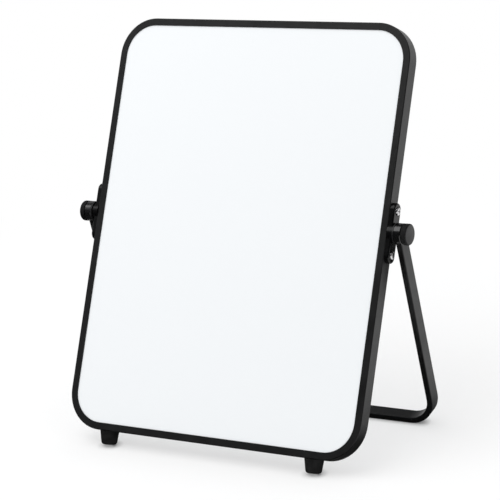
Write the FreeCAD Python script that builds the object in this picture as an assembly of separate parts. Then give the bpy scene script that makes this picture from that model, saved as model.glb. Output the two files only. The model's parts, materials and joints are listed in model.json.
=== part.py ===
"""Double-sided magnetic desk whiteboard, hung in a U-shaped stand by two side knobs.

Lengths are millimetres and angles are degrees. X runs to the right, Y to the back and Z up.
The board pieces are drawn upright and the stand pieces with their legs hanging straight down,
both round the pivot axis, which is the X axis while they are drawn. Then the board leans back
and the stand swings out behind it until the two feet and the rail stand on the desk at Z = 0.
Pieces that come in pairs are drawn on the right and mirrored to the left.
"""
import FreeCAD, Part
import math
import os

Vector = FreeCAD.Vector

# Board and its frame profile
board_width = 279.4
board_height = 355.6
frame_depth = 12.7
frame_face_width = 6.2
frame_corner_radius = 32.0
frame_wall = 1.6
frame_lip_thickness = 0.8
frame_edge_round = 0.8
lip_edge_chamfer = 0.25
profile_joint_gap = 0.15

# Writing sheets and the core between them
panel_tuck = 2.2
sheet_thickness = 0.4

# Pivot of the stand, measured up the board from its bottom edge
pivot_above_bottom_edge = 185.8
pivot_opening_angle = 38.3

# Side brackets
bracket_length = 49.0
bracket_width = 11.4
bracket_thickness = 4.0
bracket_edge_round = 1.2
boss_radius = 7.6
boss_height = 1.5
boss_rim_round = 0.4

# Threaded insert in each boss
insert_radius = 4.0
insert_length = 4.5
insert_groove_depth = 0.4
insert_groove_width = 1.2
insert_bore_floor = 0.5

# Stand, one flat bar bent to a U
leg_length = 179.6
bar_thickness = 5.2
bar_width = 11.8
bar_edge_round = 0.7
bend_inner_radius = 20.0

# Discs of each pivot, in their order from the boss outwards
hub_radius = 8.7
hub_outer_wall = 0.8
hub_rim_chamfer = 0.35
friction_washer_thickness = 1.0
thrust_washer_radius = 6.5
thrust_washer_thickness = 0.5

# Clamping knobs and their studs
knob_radius = 8.7
knob_thickness = 4.7
knob_rim_round = 1.2
stud_radius = 2.95
stud_tip_clearance = 0.2
stud_hex_across_flats = 10.0
stud_hex_thickness = 2.6
stud_hex_cover = 1.3

# Rubber feet
foot_from_board_side = 40.7
foot_height = 10.9
foot_back_tilt = 10.0
foot_top_radius = 8.0
foot_bottom_radius = 6.5
foot_rim_round = 2.2
foot_floor_thickness = 3.0
foot_washer_radius = 4.9
foot_washer_thickness = 0.8

# Pan head screws and what they screw into
screw_shank_radius = 1.7
screw_head_radius = 3.3
screw_head_height = 2.1
screw_head_round = 1.3
screw_slot_width = 0.9
screw_slot_length = 3.8
screw_slot_depth = 1.2
screw_tip_short_of_nut = 0.3
bracket_screw_from_end = 6.7
bracket_screw_seat_depth = 0.8
nut_strip_overhang = 4.5
nut_thickness = 2.2
nut_side_clearance = 0.2
foot_nut_length = 12.0

# Joiner inside the bottom of the frame, and its screws
joiner_length = 60.0
joiner_screw_offset = 20.0
joiner_screw_shank_radius = 1.4
joiner_screw_head_radius = 2.5
joiner_screw_head_height = 1.2
joiner_screw_slot_length = 3.0
joiner_screw_slot_width = 0.7
joiner_screw_slot_depth = 0.7

# Clearances
hole_clearance = 0.05
seat_clearance = 0.1
head_seat_clearance = 0.4
running_clearance = 0.08

# How far a cutting tool runs past what it cuts
cut_overrun = 1.0

# Worked out from the sizes above
side_face = board_width / 2
bottom_edge = -pivot_above_bottom_edge
groove_width = frame_depth - 2 * frame_lip_thickness
foot_from_board_centre = side_face - foot_from_board_side
panel_inset = frame_face_width - panel_tuck
bracket_outer_face = side_face + bracket_thickness
bracket_screw_spacing = bracket_length - 2 * bracket_screw_from_end
boss_end = bracket_outer_face + boss_height
hub_inner_face = boss_end + friction_washer_thickness
bar_outer_face = hub_inner_face + bar_thickness
hub_outer_face = bar_outer_face + hub_outer_wall
knob_inner_face = hub_outer_face + thrust_washer_thickness
knob_outer_face = knob_inner_face + knob_thickness
pivot_bore_radius = stud_radius + running_clearance
screw_hole_radius = screw_shank_radius + hole_clearance
screw_seat_radius = screw_head_radius + head_seat_clearance
nut_grip = frame_wall + nut_thickness - screw_tip_short_of_nut


def edges_where(shape, is_wanted):
    """The edges of a shape whose bounding box passes a test."""
    return [edge for edge in shape.Edges if is_wanted(edge.BoundBox)]


def flat_in(length):
    """Whether a length of a bounding box is nothing but rounding error."""
    return abs(length) < 1e-4


def reaches_no_further(low, high, distance, middle):
    """Whether a span stays within a distance of a middle, but for rounding error."""
    furthest = max(high - middle, middle - low)
    return furthest < distance or flat_in(furthest - distance)


def disc(radius, inner_end, outer_end):
    """A solid disc round the X axis, between two places along it."""
    return Part.makeCylinder(radius, outer_end - inner_end, Vector(inner_end, 0, 0), Vector(1, 0, 0))


def ring(outer_radius, bore_radius, inner_end, outer_end):
    """A disc with a bore, round the X axis."""
    return disc(outer_radius, inner_end, outer_end).cut(disc(bore_radius, inner_end, outer_end))


def round_rim(shape, place, radius):
    """Rounds the circular edges that lie at one place along X."""
    rims = edges_where(shape, lambda box: flat_in(box.XLength) and flat_in(box.XMin - place))
    return shape.makeFillet(radius, rims)


def mirrored(shape):
    """The left-hand copy of a right-hand piece."""
    return shape.mirror(Vector(0, 0, 0), Vector(1, 0, 0))


def board_plate(inset, thickness):
    """A plate with the board's rounded outline, drawn in by an inset, round the board's mid plane."""
    width = board_width - 2 * inset
    height = board_height - 2 * inset
    plate = Part.makeBox(width, thickness, height, Vector(-width / 2, -thickness / 2, bottom_edge + inset))
    corners = edges_where(plate, lambda box: flat_in(box.XLength) and flat_in(box.ZLength))
    return plate.makeFillet(frame_corner_radius - inset, corners)


def cross_slot(slot_length, slot_width, slot_depth, top):
    """The cross-shaped tool that cuts a driver slot into a screw head along Z."""
    tool = Part.Shape()
    for length_x, length_y in ((slot_length, slot_width), (slot_width, slot_length)):
        corner = Vector(-length_x / 2, -length_y / 2, top - slot_depth)
        bar = Part.makeBox(length_x, length_y, slot_depth + cut_overrun, corner)
        tool = bar if tool.isNull() else tool.fuse(bar)
    return tool


def pan_head_screw(length):
    """A cross-slotted pan head screw along Z: head upwards from Z = 0, shank downwards."""
    head = Part.makeCylinder(screw_head_radius, screw_head_height)
    top_rim = edges_where(head, lambda box: flat_in(box.ZLength) and box.ZMin > screw_head_height / 2)
    head = head.makeFillet(screw_head_round, top_rim)
    head = head.cut(cross_slot(screw_slot_length, screw_slot_width, screw_slot_depth, screw_head_height))
    return head.fuse(Part.makeCylinder(screw_shank_radius, length, Vector(0, 0, -length))).removeSplitter()


def countersink(extra):
    """The cone of a countersunk head under Z = 0, wider all round by a clearance."""
    bottom = Vector(0, 0, -joiner_screw_head_height)
    shank_radius = joiner_screw_shank_radius + extra
    head_radius = joiner_screw_head_radius + extra
    return Part.makeCone(shank_radius, head_radius, joiner_screw_head_height, bottom)


def countersunk_screw(length):
    """A cross-slotted countersunk screw along Z, its flat head level with Z = 0."""
    slot = cross_slot(joiner_screw_slot_length, joiner_screw_slot_width, joiner_screw_slot_depth, 0)
    head = countersink(0).cut(slot)
    shank = Part.makeCylinder(joiner_screw_shank_radius, length, Vector(0, 0, -length))
    shank = shank.cut(slot)
    return head.fuse(shank).removeSplitter()


def facing_right(shape, place):
    """Lays a screw drawn along Z along X, with its head to the right, and moves it to its place."""
    turned = shape.copy()
    turned.rotate(Vector(0, 0, 0), Vector(0, 1, 0), 90)
    turned.translate(place)
    return turned


def facing_down(shape, place):
    """Turns a screw drawn along Z head down, and moves it to its place."""
    turned = shape.copy()
    turned.rotate(Vector(0, 0, 0), Vector(1, 0, 0), 180)
    turned.translate(place)
    return turned


def bracket_screw_heights():
    """Where the two screws of a bracket are, above and below the pivot."""
    return (-bracket_screw_spacing / 2, bracket_screw_spacing / 2)


def frame_profile():
    """The C-shaped frame extrusion, bent round the board, with its butt joint at the bottom."""
    blank = board_plate(0, frame_depth)
    rims = edges_where(blank, lambda box: flat_in(box.YLength))
    blank = blank.makeFillet(frame_edge_round, rims)
    profile = blank.cut(board_plate(frame_wall, groove_width))
    profile = profile.cut(board_plate(frame_face_width, frame_depth + cut_overrun))
    wall_span = frame_wall + cut_overrun
    for height in bracket_screw_heights():
        for side_start in (side_face - wall_span, -side_face - cut_overrun):
            start = Vector(side_start, 0, height)
            hole_length = wall_span + cut_overrun
            profile = profile.cut(Part.makeCylinder(screw_hole_radius, hole_length, start, Vector(1, 0, 0)))
    for offset in (-foot_from_board_centre, foot_from_board_centre):
        profile = profile.cut(bottom_wall_hole(offset, screw_hole_radius))
    for offset in (-joiner_screw_offset, joiner_screw_offset):
        profile = profile.cut(bottom_wall_hole(offset, joiner_screw_shank_radius + hole_clearance))
        profile = profile.cut(facing_down(countersink(hole_clearance), Vector(offset, 0, bottom_edge)))
    window_edges = edges_where(profile, is_window_edge)
    profile = profile.makeChamfer(lip_edge_chamfer, window_edges)
    slot_height = frame_face_width + 2 * cut_overrun
    slot_corner = Vector(-profile_joint_gap / 2, -frame_depth, bottom_edge - cut_overrun)
    return profile.cut(Part.makeBox(profile_joint_gap, 2 * frame_depth, slot_height, slot_corner))


def is_window_edge(box):
    """Whether a bounding box is that of an edge where a face of the frame meets its window."""
    on_face = flat_in(box.YLength) and flat_in(abs(box.YMin) - frame_depth / 2)
    in_width = reaches_no_further(box.XMin, box.XMax, side_face - frame_face_width, 0)
    middle = bottom_edge + board_height / 2
    in_height = reaches_no_further(box.ZMin, box.ZMax, board_height / 2 - frame_face_width, middle)
    return on_face and in_width and in_height


def bottom_wall_hole(offset, radius):
    """A hole tool through the frame's bottom wall."""
    start = Vector(offset, 0, bottom_edge - cut_overrun)
    return Part.makeCylinder(radius, frame_wall + 2 * cut_overrun, start)


def writing_sheet(direction):
    """One white steel sheet; direction is -1 for the front and 1 for the back."""
    sheet = board_plate(panel_inset, sheet_thickness)
    sheet.translate(Vector(0, direction * (groove_width - sheet_thickness) / 2, 0))
    return sheet


def panel_core():
    """The light core that the two sheets are glued to."""
    return board_plate(panel_inset, groove_width - 2 * sheet_thickness)


def nut_block(length, low_corner_of_length, hole_radius, hole_offsets):
    """A tapped strip along Z that lies in the right-hand channel against its wall."""
    width = groove_width - 2 * nut_side_clearance
    corner = Vector(side_face - frame_wall - nut_thickness, -width / 2, low_corner_of_length)
    strip = Part.makeBox(nut_thickness, width, length, corner)
    for offset in hole_offsets:
        start = Vector(corner.x - cut_overrun, 0, offset)
        hole_length = nut_thickness + 2 * cut_overrun
        strip = strip.cut(Part.makeCylinder(hole_radius, hole_length, start, Vector(1, 0, 0)))
    return strip


def bracket_nut_strip():
    """The tapped strip behind a bracket."""
    half_length = bracket_screw_spacing / 2 + nut_strip_overhang
    return nut_block(2 * half_length, -half_length, screw_hole_radius, bracket_screw_heights())


def bottom_block(length, hole_radius, hole_offsets):
    """A tapped bar along X that lies on the floor of the bottom channel, round X = 0."""
    width = groove_width - 2 * nut_side_clearance
    corner = Vector(-length / 2, -width / 2, bottom_edge + frame_wall)
    bar = Part.makeBox(length, width, nut_thickness, corner)
    for offset in hole_offsets:
        start = Vector(offset, 0, corner.z - cut_overrun)
        bar = bar.cut(Part.makeCylinder(hole_radius, nut_thickness + 2 * cut_overrun, start))
    return bar


def frame_joiner():
    """The bar that bridges the frame's butt joint from inside."""
    offsets = (-joiner_screw_offset, joiner_screw_offset)
    return bottom_block(joiner_length, joiner_screw_shank_radius + hole_clearance, offsets)


def joiner_screws():
    """The two screws that hold the joiner, as one group."""
    one = countersunk_screw(nut_grip)
    offsets = (-joiner_screw_offset, joiner_screw_offset)
    return Part.makeCompound([facing_down(one, Vector(offset, 0, bottom_edge)) for offset in offsets])


def bracket():
    """The right-hand bracket: a round-ended plate with a boss on the pivot axis."""
    end_radius = bracket_width / 2
    half_straight = bracket_length / 2 - end_radius
    corner = Vector(side_face, -end_radius, -half_straight)
    plate = Part.makeBox(bracket_thickness, bracket_width, 2 * half_straight, corner)
    for height in (-half_straight, half_straight):
        start = Vector(side_face, 0, height)
        plate = plate.fuse(Part.makeCylinder(end_radius, bracket_thickness, start, Vector(1, 0, 0)))
    plate = round_rim(plate.removeSplitter(), bracket_outer_face, bracket_edge_round)
    boss = round_rim(disc(boss_radius, side_face, boss_end), boss_end, boss_rim_round)
    body = plate.fuse(boss).removeSplitter()
    body = body.cut(disc(insert_radius + hole_clearance, boss_end - insert_length, boss_end))
    body = body.cut(disc(pivot_bore_radius, boss_end - insert_length - insert_bore_floor, boss_end))
    seat_face = bracket_outer_face - bracket_screw_seat_depth
    for height in bracket_screw_heights():
        hole = disc(screw_hole_radius, side_face, bracket_outer_face)
        seat = disc(screw_seat_radius, seat_face, bracket_outer_face + cut_overrun)
        tool = hole.fuse(seat)
        tool.translate(Vector(0, 0, height))
        body = body.cut(tool)
    return body


def bracket_screws():
    """The two screws of the right-hand bracket, as one group."""
    seat_face = bracket_outer_face - bracket_screw_seat_depth
    length = seat_face - side_face + nut_grip
    one = pan_head_screw(length)
    heights = bracket_screw_heights()
    return Part.makeCompound([facing_right(one, Vector(seat_face, 0, height)) for height in heights])


def pivot_insert():
    """The brass threaded insert of the right-hand boss, grooved so that it grips."""
    inner_end = boss_end - insert_length
    middle = boss_end - insert_length / 2
    body = ring(insert_radius, pivot_bore_radius, inner_end, boss_end)
    groove_start = middle - insert_groove_width / 2
    groove_end = middle + insert_groove_width / 2
    return body.cut(ring(insert_radius, insert_radius - insert_groove_depth, groove_start, groove_end))


def friction_washer():
    """The plastic washer between the right-hand boss and the stand."""
    return ring(hub_radius, pivot_bore_radius, boss_end, hub_inner_face)


def bar_section(centre, across, along):
    """The bar's rounded section as a face, given its thickness and width directions."""
    half_thickness = bar_thickness / 2
    half_width = bar_width / 2
    radius = bar_edge_round
    side = half_thickness - radius
    front = half_width - radius
    corners = ((side, front, 0), (-side, front, 90), (-side, -front, 180), (side, -front, 270))
    edges = []
    starts = []
    ends = []
    for side_offset, front_offset, start_angle in corners:
        points = []
        for angle in (start_angle, start_angle + 45, start_angle + 90):
            turn = math.radians(angle)
            side_place = side_offset + radius * math.cos(turn)
            front_place = front_offset + radius * math.sin(turn)
            points.append(centre + across * side_place + along * front_place)
        edges.append(Part.Arc(*points).toShape())
        starts.append(points[0])
        ends.append(points[2])
    for index, end in enumerate(ends):
        edges.append(Part.LineSegment(end, starts[(index + 1) % len(starts)]).toShape())
    return Part.Face(Part.Wire(Part.__sortEdges__(edges)))


def stand_bar():
    """The U-shaped stand: two legs and a rail of one bar, with rounded ends at the pivots."""
    leg_middle = hub_inner_face + bar_thickness / 2
    end_radius = bar_width / 2
    bend_radius = bend_inner_radius + bar_thickness / 2
    rail_middle = bar_thickness / 2 - leg_length
    bend_top = rail_middle + bend_radius
    bend_side = leg_middle - bend_radius
    across = Vector(1, 0, 0)
    along = Vector(0, 1, 0)
    leg = bar_section(Vector(leg_middle, 0, bend_top), across, along).extrude(Vector(0, 0, end_radius - bend_top))
    bend = bar_section(Vector(leg_middle, 0, bend_top), across, along)
    bend = bend.revolve(Vector(bend_side, 0, bend_top), Vector(0, 1, 0), 90)
    rail = bar_section(Vector(-bend_side, 0, rail_middle), Vector(0, 0, 1), along)
    rail = rail.extrude(Vector(2 * bend_side, 0, 0))
    corner = Vector(hub_inner_face - cut_overrun, -bar_width, 0)
    end_blank = Part.makeBox(bar_thickness + 2 * cut_overrun, 2 * bar_width, bar_width, corner)
    end_keep = disc(end_radius, hub_inner_face - cut_overrun, bar_outer_face + cut_overrun)
    leg = leg.cut(end_blank.cut(end_keep))
    leg = leg.cut(disc(pivot_bore_radius, hub_inner_face, bar_outer_face))
    body = rail
    for half in (leg, bend):
        body = body.fuse(half).fuse(mirrored(half))
    return body.removeSplitter()


def leg_hub():
    """The moulded hub that caps the right-hand leg's end; the bar lies in its pocket."""
    body = disc(hub_radius, hub_inner_face, hub_outer_face)
    rims = edges_where(body, lambda box: flat_in(box.XLength))
    body = body.makeChamfer(hub_rim_chamfer, rims)
    pocket_radius = bar_width / 2 + seat_clearance
    pocket = disc(pocket_radius, hub_inner_face, bar_outer_face)
    corner = Vector(hub_inner_face, -pocket_radius, -hub_radius - cut_overrun)
    pocket = pocket.fuse(Part.makeBox(bar_thickness, 2 * pocket_radius, hub_radius + cut_overrun, corner))
    return body.cut(pocket).cut(disc(pivot_bore_radius, hub_inner_face, hub_outer_face))


def thrust_washer():
    """The steel washer under the right-hand knob, which travels in and out with it."""
    return ring(thrust_washer_radius, pivot_bore_radius, hub_outer_face, knob_inner_face)


def stud_head(extra):
    """The hexagonal head of the right-hand stud, larger all round by a clearance."""
    head_end = knob_outer_face - stud_hex_cover
    corner_radius = (stud_hex_across_flats / 2 + extra) / math.cos(math.radians(30))
    corners = []
    for index in range(7):
        turn = math.radians(60 * index)
        start = head_end - stud_hex_thickness
        corners.append(Vector(start, corner_radius * math.cos(turn), corner_radius * math.sin(turn)))
    return Part.Face(Part.makePolygon(corners)).extrude(Vector(stud_hex_thickness, 0, 0))


def knob():
    """The right-hand knob, moulded round the head of its stud."""
    body = round_rim(disc(knob_radius, knob_inner_face, knob_outer_face), knob_outer_face, knob_rim_round)
    body = body.cut(stud_head(hole_clearance))
    return body.cut(disc(stud_radius + hole_clearance, knob_inner_face, knob_outer_face - stud_hex_cover))


def knob_stud():
    """The right-hand stud: its head in the knob and its thread in the boss's insert."""
    tip = boss_end - insert_length + stud_tip_clearance
    return stud_head(0).fuse(disc(stud_radius, tip, knob_outer_face - stud_hex_cover)).removeSplitter()


def foot_tool(radius, top, bottom):
    """A cylinder on the right-hand foot's axis, between two depths below the board."""
    start = Vector(foot_from_board_centre, 0, bottom_edge - bottom)
    return Part.makeCylinder(radius, bottom - top, start)


def foot():
    """The right-hand rubber foot, with a recess for its screw.

    It is tapered, has a rounded rim and tilts back, which stands it more upright on the desk. It is
    drawn taller by a cut piece at its top, and trimmed level with the board's bottom edge.
    """
    taper = (foot_top_radius - foot_bottom_radius) / foot_height
    full_height = foot_height + cut_overrun
    full_top_radius = foot_top_radius + taper * cut_overrun
    middle = Vector(foot_from_board_centre, 0, bottom_edge)
    lowest = bottom_edge - foot_height
    body = Part.makeCone(foot_bottom_radius, full_top_radius, full_height, middle - Vector(0, 0, foot_height))
    rim = edges_where(body, lambda box: flat_in(box.ZLength) and flat_in(box.ZMin - lowest))
    body = body.makeFillet(foot_rim_round, rim)
    body.rotate(middle, Vector(1, 0, 0), foot_back_tilt)
    body = body.cut(foot_tool(2 * foot_top_radius, -2 * foot_height, 0))
    washer_bottom = foot_floor_thickness + foot_washer_thickness
    body = body.cut(foot_tool(foot_washer_radius, foot_floor_thickness, washer_bottom))
    body = body.cut(foot_tool(screw_seat_radius, washer_bottom, 2 * foot_height))
    return body.cut(foot_tool(screw_hole_radius, 0, foot_floor_thickness))


def foot_washer():
    """The steel washer moulded into the right-hand foot."""
    washer_bottom = foot_floor_thickness + foot_washer_thickness
    body = foot_tool(foot_washer_radius, foot_floor_thickness, washer_bottom)
    return body.cut(foot_tool(screw_hole_radius, foot_floor_thickness, washer_bottom))


def foot_screw():
    """The screw that holds the right-hand foot to the frame."""
    head_seat = foot_floor_thickness + foot_washer_thickness
    one = pan_head_screw(head_seat + nut_grip)
    return facing_down(one, Vector(foot_from_board_centre, 0, bottom_edge - head_seat))


def foot_nut():
    """The tapped plate in the channel above the right-hand foot."""
    nut = bottom_block(foot_nut_length, screw_hole_radius, (0,))
    nut.translate(Vector(foot_from_board_centre, 0, 0))
    return nut


def rest_pose():
    """How far the board leans back and how high the pivot is, with the feet and rail on the desk.

    The feet and the rail meet the desk with rounded edges, so each contact is a small circle, placed
    here by its distance below the pivot and its offset towards the back.
    """
    taper = math.atan2(foot_top_radius - foot_bottom_radius, foot_height)
    rim_setback = foot_rim_round * math.tan((math.radians(90) - taper) / 2)
    tilt = math.radians(foot_back_tilt)
    rim_down = foot_height - foot_rim_round
    rim_back = foot_bottom_radius - rim_setback
    foot_down = pivot_above_bottom_edge + rim_down * math.cos(tilt) - rim_back * math.sin(tilt)
    foot_back = rim_down * math.sin(tilt) + rim_back * math.cos(tilt)
    rail_down = leg_length - bar_edge_round
    rail_back = bar_edge_round - bar_width / 2
    opening = math.radians(pivot_opening_angle)
    rail_below = rail_down * math.cos(opening) - rail_back * math.sin(opening)
    rail_behind = rail_down * math.sin(opening) + rail_back * math.cos(opening)
    fall = foot_down - rail_below
    reach = foot_back - rail_behind
    target = bar_edge_round - foot_rim_round
    lean = math.atan2(reach, fall) + math.acos(target / math.hypot(fall, reach))
    height = foot_down * math.cos(lean) + foot_back * math.sin(lean) + foot_rim_round
    return math.degrees(lean), height


def board_pieces():
    """Every piece that leans with the board, by name."""
    pieces = {
        "frame_profile": frame_profile(),
        "frame_joiner": frame_joiner(),
        "joiner_screws": joiner_screws(),
        "front_sheet": writing_sheet(-1),
        "panel_core": panel_core(),
        "rear_sheet": writing_sheet(1),
    }
    paired = {
        "bracket": bracket(),
        "bracket_screws": bracket_screws(),
        "bracket_nut_strip": bracket_nut_strip(),
        "pivot_insert": pivot_insert(),
        "friction_washer": friction_washer(),
        "thrust_washer": thrust_washer(),
        "knob": knob(),
        "knob_stud": knob_stud(),
        "foot": foot(),
        "foot_washer": foot_washer(),
        "foot_screw": foot_screw(),
        "foot_nut": foot_nut(),
    }
    pieces.update(both_sides(paired))
    return pieces


def stand_pieces():
    """Every piece that swings with the stand, by name."""
    pieces = {"stand_bar": stand_bar()}
    pieces.update(both_sides({"leg_hub": leg_hub()}))
    return pieces


def both_sides(paired):
    """Adds the mirrored left-hand copy of each right-hand piece, and names both."""
    pieces = {}
    for name, right_piece in paired.items():
        pieces[name + "_right"] = right_piece
        pieces[name + "_left"] = mirrored(right_piece)
    return pieces


def turned(pieces, angle):
    """The pieces turned about the pivot axis."""
    result = {}
    for name, shape in pieces.items():
        piece = shape.copy()
        piece.rotate(Vector(0, 0, 0), Vector(1, 0, 0), angle)
        result[name] = piece
    return result


def main():
    """Builds, places and saves every piece."""
    lean, pivot_height = rest_pose()
    pieces = turned(board_pieces(), -lean)
    pieces.update(turned(stand_pieces(), pivot_opening_angle - lean))
    footprint = Part.makeCompound(list(pieces.values())).optimalBoundingBox()
    move = Vector(0, -(footprint.YMin + footprint.YMax) / 2, pivot_height)
    os.makedirs("parts", exist_ok=True)
    for name, shape in pieces.items():
        shape.translate(move)
        shape.exportStep(os.path.join("parts", name + ".step"))
    print("lean", lean, "pivot", move.y, move.z, "pieces", len(pieces))


main()
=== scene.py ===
"""Dresses the double-sided magnetic desk whiteboard and its U-shaped stand.

Lengths are metres. X runs to the right, Y to the back and Z up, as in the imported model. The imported
pieces keep their shapes and get their finishes here. The clamping knobs and their studs are drawn
anew, with a knurled rim and a cut thread.
"""

import json
import math

import bmesh
import bpy
from mathutils import Matrix, Vector


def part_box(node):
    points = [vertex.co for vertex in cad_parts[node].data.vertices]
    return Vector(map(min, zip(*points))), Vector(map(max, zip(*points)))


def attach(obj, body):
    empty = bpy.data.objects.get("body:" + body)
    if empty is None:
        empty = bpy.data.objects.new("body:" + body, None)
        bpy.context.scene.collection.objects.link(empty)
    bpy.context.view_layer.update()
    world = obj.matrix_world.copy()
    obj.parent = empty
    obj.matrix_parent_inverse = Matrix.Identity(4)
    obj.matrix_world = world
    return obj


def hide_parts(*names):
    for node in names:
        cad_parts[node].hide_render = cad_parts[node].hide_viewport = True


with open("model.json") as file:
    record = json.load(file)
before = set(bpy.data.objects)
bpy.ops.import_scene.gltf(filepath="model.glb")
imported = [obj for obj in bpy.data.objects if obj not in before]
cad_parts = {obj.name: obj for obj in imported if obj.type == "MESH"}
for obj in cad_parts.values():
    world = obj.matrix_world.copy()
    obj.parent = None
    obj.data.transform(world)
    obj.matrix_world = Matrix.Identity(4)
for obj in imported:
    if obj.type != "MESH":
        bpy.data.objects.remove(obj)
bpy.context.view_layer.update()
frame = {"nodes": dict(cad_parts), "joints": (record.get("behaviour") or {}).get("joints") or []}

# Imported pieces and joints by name
nodes = frame["nodes"]
joints = {joint["name"]: joint for joint in frame["joints"]}
sides = {"right": 1, "left": -1}
pivot = Vector(joints["stand_swing"]["pos_m"])

# Clamping knobs, along the pivot axis from the thrust washer outwards
knob_radius = 0.0087
knob_rim_segments = 160
knob_rim_round = 0.0012
knob_rim_round_steps = 4
knob_inner_chamfer = 0.0004
knob_inner_chamfer_steps = 2
knob_pocket_radius = 0.0059
knob_bore_radius = 0.003
knob_cover = 0.0013
knurl_flutes = 40
knurl_depth = 0.00018
knurl_from_end = 0.0014
knurl_run_out = 0.00025

# Studs: a hexagonal head in the knob's pocket, and a thread round a core that lies just inside it
stud_head_thickness = 0.0026
stud_head_across_flats = 0.010
stud_head_radius = stud_head_across_flats / 2 / math.cos(math.radians(30))
stud_head_round = 0.0003
stud_head_round_steps = 2
stud_pitch = 0.001
stud_major_radius = 0.00295
stud_minor_radius = 0.00245
stud_crest_half = stud_pitch / 16
stud_thread_steps = 32
stud_core_radius = 0.0024
stud_core_segments = 2 * stud_thread_steps
stud_tip_chamfer = stud_pitch / 3

# Closeness of points, and the sharpest bend that is shaded smooth
merge_distance = 1e-7
same_place = 1e-6
smooth_up_to = math.radians(32)

# Coating grain: how much the peaks count, and the slow mottle over them
grain_peak_weight = -0.5
mottle_over_grain = 45.0
mottle_limits = (0.32, 0.68)

# Rubbed edges: how well a rounded normal matches the face's own, on flats and on sharp edges, and
# the patches that break the rub up
edge_width = 0.0006
edge_match = (0.97, 0.75)
rub_patch_scale = 260.0
rub_patch_limits = (0.4, 0.62)
rub_patch_share = (0.15, 1.0)

# Handling: wiped smears, longer sideways than upwards, and specks of dust
smear_stretch = (1.0, 1.0, 2.6)
smear_limits = (0.4, 0.7)
speck_scale = 420.0
speck_limits = (0.1, 0.05)

# One ring of the wave texture at a scale of 1
ring_width = 0.314

# Black pieces: tints from their own colour, and changes of roughness
coating_darker = 0.8
coating_lighter = 1.25
coating_smear_size = 0.03
coating_dust_share = 0.02
dust_grey = (0.5, 0.5, 0.5, 1)
mottle_roughness = 0.04
smear_roughness = 0.05
rubbed_roughness = -0.08

# White enamel
enamel_clean = (0.865, 0.885, 0.900, 1)
enamel_wiped = (0.861, 0.881, 0.897, 1)
enamel_roughness = (0.22, 0.26)
enamel_smear_size = 0.09
enamel_ripple_depth = 0.00002
enamel_ripple_strength = 0.3

# Turned metal
metal_grain = 0.0002
metal_grain_share = 0.35
metal_stain_roughness = 0.14
metal_mark_depth = 0.00001
metal_mark_strength = 0.6

# Foot rubber
rubber_black = (0.006, 0.006, 0.006, 1)
rubber_lighter = (0.010, 0.010, 0.010, 1)
rubber_bloom = (0.2, 0.2, 0.2, 1)
rubber_bloom_share = 0.03
rubber_grain = 0.0005
rubber_smear_size = 0.008
rubber_roughness = (0.42, 0.56)
rubber_pit_depth = 0.00004
rubber_pit_strength = 0.7

# Core board
core_wall = (0.42, 0.30, 0.18, 1)
core_cell = (0.60, 0.47, 0.31, 1)
core_cell_scale = 180.0
core_wall_limits = (0.02, 0.12)
core_depth = 0.0002

# Camera
camera_azimuth = math.radians(32.48)
camera_elevation = math.radians(17.80)
camera_roll = math.radians(-6.29)
camera_distance = 1.68421
camera_target = Vector((0.06388, -0.08489, 0.18759))
camera_lens = 155.70

# Floor: paper that holds the shadow near the part, and plain white further out
floor_radius = 4.0
floor_segments = 96
floor_shaded_radius = 0.42
floor_white_radius = 0.75
floor_colour = (0.45, 0.45, 0.45, 1)
floor_bounce = (0.74, 0.74, 0.74, 1)
floor_lift = 0.485
# Reach of the painted contact shade, which dims the floor's white glow where a piece all but touches
# it
painted_contact_shade_reach = 0.006

# Painted floor reflection for glossy faces: a glow dark in front as painted shade, white behind and on
# the right
floor_painted_reflection_front = 0.05
floor_painted_reflection_behind = (0.05, 0.13)
floor_painted_reflection_right = (0.15, 0.21)

# Studio: an even fill, and what glossy faces mirror: a low white backdrop behind, a pale wall on
# the left, dark elsewhere. A pair says where a change starts and ends along one axis of direction
studio_white = (1, 1, 1, 1)
studio_dark = (0.05, 0.05, 0.052, 1)
fill_in_front = (0.90, 0.903, 0.906, 1)
fill_behind = (1.04, 1.045, 1.05, 1)
fill_from_front = (-0.6, 0.6)
backdrop_from_side = (0.0, 0.4)
backdrop_height = (0.0, 0.22)
backdrop_above = 0.12
pale_wall = (1.30, 1.31, 1.33, 1)
wall_leftward = (-0.49, -0.66)
wall_rise = (0.36, 0.60)
wall_foot = 0.1
wall_top = (0.60, 0.70)

# Softbox, high up at the left front
lamp_place = Vector((-0.65, -0.70, 2.15))
lamp_aim = Vector((-0.10, 0, 0.15))
lamp_size = (2.0, 1.7)
lamp_power = 18.5


def new_object(name, data):
    """A mesh, lamp or camera placed in the scene."""
    placed = bpy.data.objects.new(name, data)
    bpy.context.scene.collection.objects.link(placed)
    return placed


def empty_tree(owner):
    """The node tree of a material or world, without any nodes."""
    owner.use_nodes = True
    owner.node_tree.nodes.clear()
    return owner.node_tree


def add_node(tree, kind, values=(), **settings):
    """Adds a shader node, sets its properties, and gives inputs a value or a link each."""
    new = tree.nodes.new(kind)
    for name, setting in settings.items():
        setattr(new, name, setting)
    for name, value in dict(values).items():
        if isinstance(value, bpy.types.NodeSocket):
            tree.links.new(value, new.inputs[name])
        else:
            new.inputs[name].default_value = value
    return new


def calculate(tree, operation, first, second=0.0, third=0.0):
    """A Math node's result."""
    values = {0: first, 1: second, 2: third}
    return add_node(tree, "ShaderNodeMath", values, operation=operation).outputs[0]


def calculate_vector(tree, operation, first, second=(0, 0, 0)):
    """A Vector Math node's outputs."""
    values = {0: first, 1: second}
    return add_node(tree, "ShaderNodeVectorMath", values, operation=operation).outputs


def spread(tree, value, old, new=(0.0, 1.0)):
    """A value carried from one pair of limits to another and kept between them."""
    limits = {"From Min": old[0], "From Max": old[1], "To Min": new[0], "To Max": new[1]}
    return add_node(tree, "ShaderNodeMapRange", {"Value": value, **limits}).outputs["Result"]


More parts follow.
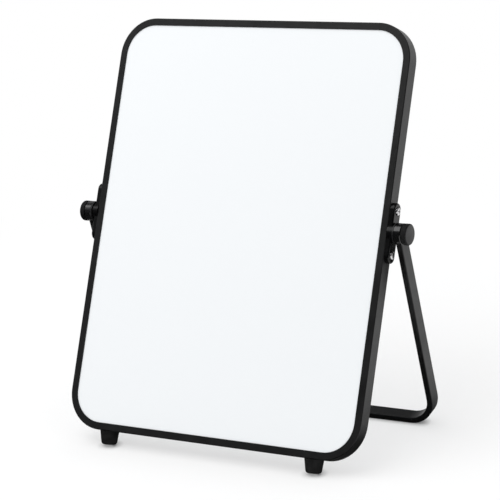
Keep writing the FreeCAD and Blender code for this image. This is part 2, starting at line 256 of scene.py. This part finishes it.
def blend_colours(tree, factor, first, second):
    """One colour where the factor is 0 and the other where it is 1."""
    # The colour sockets share their names with those for numbers, so they go by their place
    values = {"Factor": factor, 6: first, 7: second}
    return add_node(tree, "ShaderNodeMix", values, data_type="RGBA").outputs[2]


def blend_shaders(tree, factor, first, second):
    """One shader where the factor is 0 and the other where it is 1."""
    return add_node(tree, "ShaderNodeMixShader", {0: factor, 1: first, 2: second}).outputs[0]


def white_glow(tree, strength):
    """A white glow. A strength of 1 is plain white."""
    values = {"Color": studio_white, "Strength": strength}
    return add_node(tree, "ShaderNodeEmission", values).outputs[0]


def mirrored_ray(tree, ray):
    """1 for the rays that come from gloss or glass, and 0 for others."""
    return calculate(tree, "MAXIMUM", ray["Is Glossy Ray"], ray["Is Transmission Ray"])


def new_effect(name, inputs, outputs):
    """An empty shader node group, with its input and output sockets."""
    tree = bpy.data.node_groups.new(name, "ShaderNodeTree")
    for socket_name, kind, start in inputs:
        socket = tree.interface.new_socket(socket_name, in_out="INPUT", socket_type=kind)
        if start is not None:
            socket.default_value = start
    for socket_name in outputs:
        tree.interface.new_socket(socket_name, in_out="OUTPUT", socket_type="NodeSocketFloat")
    given = tree.nodes.new("NodeGroupInput").outputs
    result = tree.nodes.new("NodeGroupOutput").inputs
    return tree, given, result


def make_coating_grain():
    """Powder coat and moulded texture: fine peaks with a slow mottle over them."""
    inputs = (("Place", "NodeSocketVector", None), ("Grain", "NodeSocketFloat", 0.0004))
    tree, given, result = new_effect("coating_grain", inputs, ("Height", "Mottle"))
    scale = calculate(tree, "DIVIDE", 1.0, given["Grain"])
    bumps = {"Vector": given["Place"], "Scale": scale, "Detail": 3.0}
    fine = add_node(tree, "ShaderNodeTexNoise", bumps).outputs[0]
    cells = {"Vector": given["Place"], "Scale": scale, "Smoothness": 0.6}
    peaks = add_node(tree, "ShaderNodeTexVoronoi", cells, feature="SMOOTH_F1").outputs["Distance"]
    height = calculate(tree, "MULTIPLY_ADD", peaks, grain_peak_weight, fine)
    slow_scale = calculate(tree, "DIVIDE", scale, mottle_over_grain)
    slow = {"Vector": given["Place"], "Scale": slow_scale, "Detail": 4.0, "Roughness": 0.6}
    mottle = add_node(tree, "ShaderNodeTexNoise", slow).outputs[0]
    tree.links.new(height, result["Height"])
    tree.links.new(spread(tree, mottle, mottle_limits), result["Mottle"])
    return tree


def make_edge_rub():
    """Where an edge is: 0 on flats and 1 on the sharpest edges, broken up by noise."""
    inputs = (("Place", "NodeSocketVector", None), ("Width", "NodeSocketFloat", 0.0005))
    tree, given, result = new_effect("edge_rub", inputs, ("Edge",))
    rounded = add_node(tree, "ShaderNodeBevel", {"Radius": given["Width"]}, samples=4)
    surface = add_node(tree, "ShaderNodeNewGeometry")
    normals = (rounded.outputs["Normal"], surface.outputs["Normal"])
    match = calculate_vector(tree, "DOT_PRODUCT", *normals)["Value"]
    bend = spread(tree, match, edge_match)
    patches = {
        "Vector": given["Place"],
        "Scale": rub_patch_scale,
        "Detail": 5.0,
        "Roughness": 0.7,
    }
    broken = add_node(tree, "ShaderNodeTexNoise", patches).outputs[0]
    share = spread(tree, broken, rub_patch_limits, rub_patch_share)
    tree.links.new(calculate(tree, "MULTIPLY", bend, share), result["Edge"])
    return tree


def make_handling():
    """Faint smears, and specks of dust, that only change the gloss and tint a little."""
    inputs = (("Place", "NodeSocketVector", None), ("Size", "NodeSocketFloat", 0.04))
    tree, given, result = new_effect("handling", inputs, ("Smear", "Dust"))
    scale = calculate(tree, "DIVIDE", 1.0, given["Size"])
    drawn_out = {"Vector": given["Place"], "Scale": smear_stretch}
    stretched = add_node(tree, "ShaderNodeMapping", drawn_out).outputs[0]
    smear = {
        "Vector": stretched,
        "Scale": scale,
        "Detail": 6.0,
        "Roughness": 0.55,
        "Distortion": 0.6,
    }
    smears = add_node(tree, "ShaderNodeTexNoise", smear).outputs[0]
    specks = {"Vector": given["Place"], "Scale": speck_scale}
    from_speck = add_node(tree, "ShaderNodeTexVoronoi", specks).outputs["Distance"]
    tree.links.new(spread(tree, smears, smear_limits), result["Smear"])
    tree.links.new(spread(tree, from_speck, speck_limits), result["Dust"])
    return tree


def make_turned_rings():
    """Fine tool marks round the pivot axis of a turned piece."""
    inputs = (("Place", "NodeSocketVector", None), ("Pitch", "NodeSocketFloat", 0.0003))
    tree, given, result = new_effect("turned_rings", inputs, ("Height",))
    scale = calculate(tree, "DIVIDE", ring_width, given["Pitch"])
    rings = {"Vector": given["Place"], "Scale": scale, "Distortion": 0.4, "Detail": 1.0}
    wave = add_node(tree, "ShaderNodeTexWave", rings, wave_type="RINGS", rings_direction="X")
    tree.links.new(wave.outputs["Fac"], result["Height"])
    return tree


effects = {
    "coating_grain": make_coating_grain(),
    "edge_rub": make_edge_rub(),
    "handling": make_handling(),
    "turned_rings": make_turned_rings(),
}


def use_effect(tree, name, values):
    """A shared effect placed in a material, by its outputs."""
    return add_node(tree, "ShaderNodeGroup", values, node_tree=effects[name]).outputs


def new_finish(name, values, centre=(0, 0, 0)):
    """A material, its node tree, its shader and the place on the piece, measured from a centre."""
    finish = bpy.data.materials.new(name)
    tree = empty_tree(finish)
    shader = add_node(tree, "ShaderNodeBsdfPrincipled", values)
    output = tree.nodes.new("ShaderNodeOutputMaterial")
    tree.links.new(shader.outputs[0], output.inputs["Surface"])
    place = tree.nodes.new("ShaderNodeTexCoord").outputs["Object"]
    if any(centre):
        moved = {"Vector": place, "Location": [-distance for distance in centre]}
        place = add_node(tree, "ShaderNodeMapping", moved).outputs[0]
    return finish, tree, shader, place


def raise_surface(tree, shader, height, depth, strength=1.0):
    """Gives the shader a bump from a height."""
    bump = {"Height": height, "Distance": depth, "Strength": strength}
    tree.links.new(add_node(tree, "ShaderNodeBump", bump).outputs[0], shader.inputs["Normal"])


def coated(
    name, colour, grain, depth, roughness, rub, specular=0.5, centre=(0, 0, 0), dull_rim=0.0
):
    """A coated or moulded black finish: grain, mottle, rubbed edges, handling and a duller rim."""
    finish, tree, shader, place = new_finish(name, {"Specular IOR Level": specular}, centre)
    texture = use_effect(tree, "coating_grain", {"Place": place, "Grain": grain})
    edge = use_effect(tree, "edge_rub", {"Place": place, "Width": edge_width})["Edge"]
    handled = use_effect(tree, "handling", {"Place": place, "Size": coating_smear_size})
    darker = [channel * coating_darker for channel in colour[:3]] + [1]
    lighter = [channel * coating_lighter for channel in colour[:3]] + [1]
    rubbed = [channel + rub for channel in colour[:3]] + [1]
    tint = blend_colours(tree, texture["Mottle"], darker, lighter)
    tint = blend_colours(tree, edge, tint, rubbed)
    dusty = calculate(tree, "MULTIPLY", handled["Dust"], coating_dust_share)
    tint = blend_colours(tree, dusty, tint, dust_grey)
    tree.links.new(tint, shader.inputs["Base Color"])
    limits = (roughness - mottle_roughness, roughness + mottle_roughness)
    dull = spread(tree, texture["Mottle"], (0.0, 1.0), limits)
    dull = calculate(tree, "MULTIPLY_ADD", handled["Smear"], smear_roughness, dull)
    if dull_rim:
        across = calculate_vector(tree, "MULTIPLY", place, (0, 1, 1))[0]
        reach = calculate_vector(tree, "LENGTH", across)["Value"]
        rim_limits = (knob_radius - knob_rim_round, knob_radius - knurl_depth)
        rim = spread(tree, reach, rim_limits, (0.0, dull_rim))
        dull = calculate(tree, "ADD", dull, rim)
    dull = calculate(tree, "MULTIPLY_ADD", edge, rubbed_roughness, dull)
    tree.links.new(dull, shader.inputs["Roughness"])
    raise_surface(tree, shader, texture["Height"], depth)
    return finish


def enamelled_steel():
    """White dry-erase enamel: glossy, very slightly rippled, with faint wiped smears."""
    values = {"Specular IOR Level": 0.5, "Coat Weight": 0.3, "Coat Roughness": 0.08}
    finish, tree, shader, place = new_finish("white_enamel", values)
    smear = use_effect(tree, "handling", {"Place": place, "Size": enamel_smear_size})["Smear"]
    waves = {"Vector": place, "Scale": 210.0, "Detail": 2.0}
    ripple = add_node(tree, "ShaderNodeTexNoise", waves).outputs[0]
    tint = blend_colours(tree, smear, enamel_clean, enamel_wiped)
    tree.links.new(tint, shader.inputs["Base Color"])
    dull = spread(tree, smear, (0.0, 1.0), enamel_roughness)
    tree.links.new(dull, shader.inputs["Roughness"])
    raise_surface(tree, shader, ripple, enamel_ripple_depth, enamel_ripple_strength)
    return finish


def turned_metal(name, colour, stained, pitch, roughness):
    """Plated or bare turned metal, with tool marks and a slightly stained surface."""
    finish, tree, shader, place = new_finish(name, {"Metallic": 1.0}, pivot)
    rings = use_effect(tree, "turned_rings", {"Place": place, "Pitch": pitch})["Height"]
    texture = use_effect(tree, "coating_grain", {"Place": place, "Grain": metal_grain})
    tint = blend_colours(tree, texture["Mottle"], colour, stained)
    tree.links.new(tint, shader.inputs["Base Color"])
    limits = (roughness, roughness + metal_stain_roughness)
    dull = spread(tree, texture["Mottle"], (0.0, 1.0), limits)
    tree.links.new(dull, shader.inputs["Roughness"])
    height = calculate(tree, "MULTIPLY_ADD", texture["Height"], metal_grain_share, rings)
    raise_surface(tree, shader, height, metal_mark_depth, metal_mark_strength)
    return finish


def foot_rubber():
    """Black rubber: matt, finely pitted, with a pale bloom here and there."""
    finish, tree, shader, place = new_finish("foot_rubber", {"Specular IOR Level": 0.45})
    texture = use_effect(tree, "coating_grain", {"Place": place, "Grain": rubber_grain})
    smear = use_effect(tree, "handling", {"Place": place, "Size": rubber_smear_size})["Smear"]
    tint = blend_colours(tree, texture["Mottle"], rubber_black, rubber_lighter)
    bloom = calculate(tree, "MULTIPLY", smear, rubber_bloom_share)
    tint = blend_colours(tree, bloom, tint, rubber_bloom)
    tree.links.new(tint, shader.inputs["Base Color"])
    dull = spread(tree, smear, (0.0, 1.0), rubber_roughness)
    tree.links.new(dull, shader.inputs["Roughness"])
    raise_surface(tree, shader, texture["Height"], rubber_pit_depth, rubber_pit_strength)
    return finish


def honeycomb_board():
    """The brown edge of the core, with its layered cells."""
    finish, tree, shader, place = new_finish("core_board", {"Roughness": 0.9})
    values = {"Vector": place, "Scale": core_cell_scale}
    cells = add_node(tree, "ShaderNodeTexVoronoi", values, feature="DISTANCE_TO_EDGE")
    inside = spread(tree, cells.outputs["Distance"], core_wall_limits)
    tree.links.new(blend_colours(tree, inside, core_wall, core_cell), shader.inputs["Base Color"])
    raise_surface(tree, shader, inside, core_depth)
    return finish


soft_black = (0.0076, 0.0077, 0.0079, 1)
deep_black = (0.0016, 0.0016, 0.0018, 1)
washer_black = (0.012, 0.012, 0.013, 1)
plating = (0.78, 0.78, 0.80, 1)
plating_stained = (0.62, 0.61, 0.60, 1)
steel = (0.45, 0.45, 0.47, 1)
steel_stained = (0.33, 0.32, 0.32, 1)
brass = (0.78, 0.57, 0.27, 1)
brass_stained = (0.60, 0.42, 0.20, 1)
finishes = {
    "frame": coated(
        "frame_coating", soft_black,
        grain=0.00045, depth=0.00004, roughness=0.32, rub=0.006, specular=0.40,
    ),
    "stand": coated(
        "stand_coating", deep_black,
        grain=0.00040, depth=0.00003, roughness=0.40, rub=0.005, specular=0.47,
    ),
    "bracket": coated(
        "bracket_plastic", deep_black,
        grain=0.00030, depth=0.00002, roughness=0.20, rub=0.004, specular=0.33,
    ),
    "hub": coated(
        "hub_plastic", deep_black,
        grain=0.00030, depth=0.00001, roughness=0.17, rub=0.004, specular=0.95,
    ),
    "washer": coated(
        "washer_plastic", washer_black,
        grain=0.00025, depth=0.00001, roughness=0.38, rub=0.004,
    ),
    "knob": coated(
        "knob_plastic", deep_black,
        grain=0.00035, depth=0.00002, roughness=0.46, rub=0.004, specular=0.60,
        centre=pivot, dull_rim=0.32,
    ),
    "white": enamelled_steel(),
    "core": honeycomb_board(),
    "plated": turned_metal("plated_steel", plating, plating_stained, pitch=0.0004, roughness=0.18),
    "bare": turned_metal("bare_steel", steel, steel_stained, pitch=0.0006, roughness=0.32),
    "brass": turned_metal("insert_brass", brass, brass_stained, pitch=0.0003, roughness=0.22),
    "rubber": foot_rubber(),
}

single_pieces = {
    "frame_profile": "frame",
    "front_sheet": "white",
    "rear_sheet": "white",
    "panel_core": "core",
    "frame_joiner": "bare",
    "joiner_screws": "plated",
    "stand_bar": "stand",
}
paired_pieces = {
    "bracket": "bracket",
    "bracket_screws": "plated",
    "bracket_nut_strip": "bare",
    "pivot_insert": "brass",
    "friction_washer": "washer",
    "thrust_washer": "plated",
    "leg_hub": "hub",
    "knob": "knob",
    "knob_stud": "plated",
    "foot": "rubber",
    "foot_washer": "bare",
    "foot_screw": "plated",
    "foot_nut": "bare",
}


def dress_packed_pieces():
    """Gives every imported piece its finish."""
    dressed = dict(single_pieces)
    for name, finish in paired_pieces.items():
        for side in sides:
            dressed[f"{name}_{side}"] = finish
    for name, finish in dressed.items():
        for slot in nodes[name].material_slots:
            slot.material = finishes[finish]


def save_piece(bm, name, finish, body, replaced):
    """Turns a finished bmesh into a piece that rides on a body in place of a packed one."""
    bmesh.ops.remove_doubles(bm, verts=bm.verts, dist=merge_distance)
    bmesh.ops.recalc_face_normals(bm, faces=bm.faces)
    mesh = bpy.data.meshes.new(name)
    bm.to_mesh(mesh)
    bm.free()
    mesh.shade_smooth()
    mesh.set_sharp_from_angle(angle=smooth_up_to)
    mesh.materials.append(finishes[finish])
    piece = new_object(name, mesh)
    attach(piece, body)
    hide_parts(replaced)


def draw_outline(bm, points):
    """An open line of edges above the X axis, from (place along X, radius) pairs."""
    corners = [bm.verts.new((along, 0, radius)) for along, radius in points]
    edges = [bm.edges.new(pair) for pair in zip(corners, corners[1:])]
    return corners + edges


def spin_outline(points, segments):
    """A turned shape round the X axis from its outline."""
    bm = bmesh.new()
    bmesh.ops.spin(
        bm,
        geom=draw_outline(bm, points),
        cent=(0, 0, 0),
        axis=(1, 0, 0),
        angle=2 * math.pi,
        steps=segments,
        use_merge=True,
    )
    bmesh.ops.remove_doubles(bm, verts=bm.verts, dist=merge_distance)
    return bm


def off_axis(corner):
    """A corner's distance from the X axis."""
    return math.hypot(corner.co.y, corner.co.z)


def edges_at(bm, along, radius):
    """The edges of the circle at one place along X with one radius."""
    found = []
    for edge in bm.edges:
        fits = [
            abs(corner.co.x - along) < same_place and abs(off_axis(corner) - radius) < same_place
            for corner in edge.verts
        ]
        if all(fits):
            found.append(edge)
    return found


def round_edges(bm, edges, size, steps):
    """Rounds edges off, or chamfers them, in a number of steps."""
    bmesh.ops.bevel(
        bm, geom=edges, offset=size, segments=steps, profile=0.5, affect="EDGES", material=-1
    )


def cut_knurl(bm, inner, outer):
    """Presses straight flutes into the rim between two places along X."""
    for corner in bm.verts:
        radius = off_axis(corner)
        in_run = inner - same_place < corner.co.x < outer + same_place
        if in_run and abs(radius - knob_radius) < same_place:
            turn = math.atan2(corner.co.z, corner.co.y)
            depth = knurl_depth * (1 - math.cos(knurl_flutes * turn)) / 2
            scale = (radius - depth) / radius
            corner.co.y *= scale
            corner.co.z *= scale


def knob_ends():
    """Where the right-hand knob starts and ends along X."""
    low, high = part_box("knob_right")
    return low.x, high.x


def draw_knob():
    """The right-hand knob: a knurled rim, a rounded end and the pocket for the stud's head."""
    inner, outer = knob_ends()
    pocket_top = outer - knob_cover
    pocket_floor = pocket_top - stud_head_thickness
    knurl_start = inner + knurl_from_end
    knurl_end = outer - knurl_from_end
    outline = (
        (pocket_top, 0),
        (pocket_top, knob_pocket_radius),
        (pocket_floor, knob_pocket_radius),
        (pocket_floor, knob_bore_radius),
        (inner, knob_bore_radius),
        (inner, knob_radius),
        (knurl_start, knob_radius),
        (knurl_start + knurl_run_out, knob_radius),
        (knurl_end - knurl_run_out, knob_radius),
        (knurl_end, knob_radius),
        (outer, knob_radius),
        (outer, 0),
    )
    bm = spin_outline(outline, knob_rim_segments)
    cut_knurl(bm, knurl_start + knurl_run_out, knurl_end - knurl_run_out)
    round_edges(bm, edges_at(bm, outer, knob_radius), knob_rim_round, knob_rim_round_steps)
    round_edges(bm, edges_at(bm, inner, knob_radius), knob_inner_chamfer, knob_inner_chamfer_steps)
    return bm


def thread_tooth(start):
    """One thread tooth's outline at the start of its run, as (place along X, radius) pairs."""
    half = stud_pitch / 2
    return (
        (start - half, stud_minor_radius),
        (start - stud_crest_half, stud_major_radius),
        (start + stud_crest_half, stud_major_radius),
        (start + half, stud_minor_radius),
    )


def draw_stud():
    """The right-hand stud: a hexagonal head in the knob and a screw thread down to its tip."""
    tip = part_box("knob_stud_right")[0].x
    head_end = knob_ends()[1] - knob_cover
    head_start = head_end - stud_head_thickness
    head_middle = (head_start + head_end) / 2
    outline = (
        (tip, 0),
        (tip, stud_core_radius - stud_tip_chamfer),
        (tip + stud_tip_chamfer, stud_core_radius),
        (head_start, stud_core_radius),
        (head_start, 0),
    )
    bm = spin_outline(outline, stud_core_segments)
    along_axis = Matrix.Rotation(math.pi / 2, 4, "Y")
    head = bmesh.ops.create_cone(
        bm,
        cap_ends=True,
        segments=6,
        radius1=stud_head_radius,
        radius2=stud_head_radius,
        depth=stud_head_thickness,
        matrix=Matrix.Translation((head_middle, 0, 0)) @ along_axis,
    )
    head_edges = {edge for corner in head["verts"] for edge in corner.link_edges}
    round_edges(bm, list(head_edges), stud_head_round, stud_head_round_steps)
    turns = int((head_start - tip - stud_pitch) / stud_pitch)
    bmesh.ops.spin(
        bm,
        geom=draw_outline(bm, thread_tooth(tip + stud_pitch / 2)),
        cent=(0, 0, 0),
        axis=(1, 0, 0),
        dvec=(stud_pitch / stud_thread_steps, 0, 0),
        angle=2 * math.pi * turns,
        steps=stud_thread_steps * turns,
    )
    return bm


def place_clamp_pieces():
    """Draws the knobs and studs, moves them onto the pivot axis and mirrors the left ones."""
    drawings = (("knob", draw_knob, "knob_plastic"), ("knob_stud", draw_stud, "plated_steel"))
    to_axis = Matrix.Translation((0, pivot.y, pivot.z))
    for side, direction in sides.items():
        onto_side = to_axis @ Matrix.Diagonal((direction, 1, 1, 1))
        body = f"clamp_knob_{side}"
        for name, draw, slot in drawings:
            bm = draw()
            bmesh.ops.transform(bm, matrix=onto_side, verts=bm.verts)
            finish = paired_pieces[name]
            save_piece(bm, f"{name}_dressed_{side}", finish, body, f"{name}_{side}")


def floor_paper():
    """The floor's material: paper that holds the shadow near the part, and white further out.

    The camera sees it lifted towards white by a glow, dimmed where a piece all but touches it as
    painted contact shade. Glossy faces see a painted reflection instead: a glow that is white behind
    the part and on its right, and dark in front. It bounces light as pale paper.
    """
    surface = bpy.data.materials.new("floor_paper")
    tree = empty_tree(surface)
    place = tree.nodes.new("ShaderNodeTexCoord").outputs["Object"]
    ray = tree.nodes.new("ShaderNodeLightPath").outputs
    glossy = mirrored_ray(tree, ray)
    seen = calculate(tree, "MAXIMUM", ray["Is Camera Ray"], glossy)
    paper = add_node(tree, "ShaderNodeBsdfDiffuse", {"Color": floor_colour}).outputs[0]
    # Painted contact shade: ambient occlusion dims the white glow where a piece all but touches the
    # floor
    reach = {"Distance": painted_contact_shade_reach}
    painted_contact_shade = add_node(tree, "ShaderNodeAmbientOcclusion", reach).outputs["AO"]
    lift = white_glow(tree, calculate(tree, "MULTIPLY", painted_contact_shade, floor_lift))
    lifted = add_node(tree, "ShaderNodeAddShader", {0: paper, 1: lift}).outputs[0]
    distance = calculate_vector(tree, "LENGTH", place)["Value"]
    fading = {
        "Value": distance,
        "From Min": floor_shaded_radius,
        "From Max": floor_white_radius,
    }
    fade = add_node(tree, "ShaderNodeMapRange", fading, interpolation_type="SMOOTHERSTEP")
    shown = blend_shaders(tree, fade.outputs["Result"], lifted, white_glow(tree, 1.0))
    across = add_node(tree, "ShaderNodeSeparateXYZ", {0: place}).outputs
    # Painted reflection: glossy faces see a glow, dark in front as painted shade and white behind and
    # on the right
    dark_to_white = (floor_painted_reflection_front, 1.0)
    to_the_back = spread(tree, across["Y"], floor_painted_reflection_behind, dark_to_white)
    to_the_right = spread(tree, across["X"], floor_painted_reflection_right)
    painted_floor_reflection = white_glow(tree, calculate(tree, "MAXIMUM", to_the_back, to_the_right))
    shown = blend_shaders(tree, glossy, shown, painted_floor_reflection)
    bounce = add_node(tree, "ShaderNodeBsdfDiffuse", {"Color": floor_bounce}).outputs[0]
    output = tree.nodes.new("ShaderNodeOutputMaterial")
    tree.links.new(blend_shaders(tree, seen, bounce, shown), output.inputs["Surface"])
    return surface


def make_floor():
    """A wide round floor under the part."""
    bm = bmesh.new()
    bmesh.ops.create_circle(bm, cap_ends=True, segments=floor_segments, radius=floor_radius)
    mesh = bpy.data.meshes.new("floor")
    bm.to_mesh(mesh)
    bm.free()
    mesh.materials.append(floor_paper())
    floor = new_object("floor", mesh)


def make_studio():
    """The world: an even fill for diffuse light, the room that glossy faces mirror, and white."""
    world = bpy.data.worlds.new("studio")
    bpy.context.scene.world = world
    tree = empty_tree(world)
    direction = tree.nodes.new("ShaderNodeTexCoord").outputs["Generated"]
    along = add_node(tree, "ShaderNodeSeparateXYZ", {0: direction}).outputs
    ray = tree.nodes.new("ShaderNodeLightPath").outputs
    behind = spread(tree, along["Y"], backdrop_from_side)
    low = spread(tree, along["Z"], backdrop_height, (1.0, backdrop_above))
    backdrop = calculate(tree, "MULTIPLY", behind, low)
    leftward = spread(tree, along["X"], wall_leftward)
    upward = spread(tree, along["Z"], wall_rise, (wall_foot, 1.0))
    below_top = spread(tree, along["Z"], wall_top, (1.0, 0.0))
    wall = calculate(tree, "MULTIPLY", leftward, upward)
    wall = calculate(tree, "MULTIPLY", wall, below_top)
    room = blend_colours(tree, wall, studio_dark, pale_wall)
    room = blend_colours(tree, backdrop, room, studio_white)
    to_the_back = spread(tree, along["Y"], fill_from_front)
    fill = blend_colours(tree, to_the_back, fill_in_front, fill_behind)
    colour = blend_colours(tree, ray["Is Diffuse Ray"], studio_dark, fill)
    colour = blend_colours(tree, mirrored_ray(tree, ray), colour, room)
    colour = blend_colours(tree, ray["Is Camera Ray"], colour, studio_white)
    light = add_node(tree, "ShaderNodeBackground", {"Color": colour, "Strength": 1.0}).outputs[0]
    output = tree.nodes.new("ShaderNodeOutputWorld")
    tree.links.new(light, output.inputs["Surface"])


def make_softbox():
    """The rectangular softbox, aimed at its point."""
    lamp = bpy.data.lights.new("softbox", "AREA")
    lamp.shape = "RECTANGLE"
    lamp.size, lamp.size_y = lamp_size
    lamp.energy = lamp_power
    holder = new_object("softbox", lamp)
    holder.location = lamp_place
    holder.rotation_mode = "QUATERNION"
    holder.rotation_quaternion = (lamp_aim - lamp_place).to_track_quat("-Z", "Y")


def make_camera():
    """The camera, by its direction, roll and distance from its target."""
    level_reach = math.cos(camera_elevation)
    back = Vector(
        (
            math.sin(camera_azimuth) * level_reach,
            -math.cos(camera_azimuth) * level_reach,
            math.sin(camera_elevation),
        )
    )
    level = Vector((math.cos(camera_azimuth), math.sin(camera_azimuth), 0))
    upright = back.cross(level)
    right = math.cos(camera_roll) * level + math.sin(camera_roll) * upright
    up = math.cos(camera_roll) * upright - math.sin(camera_roll) * level
    lens = bpy.data.cameras.new("camera")
    lens.lens = camera_lens
    holder = new_object("camera", lens)
    turn = Matrix((right, up, back)).transposed().to_4x4()
    holder.matrix_world = Matrix.Translation(camera_target + camera_distance * back) @ turn
    bpy.context.scene.camera = holder


dress_packed_pieces()
place_clamp_pieces()
make_floor()
make_studio()
make_softbox()
make_camera()
bpy.context.scene.view_settings.view_transform = "Standard"
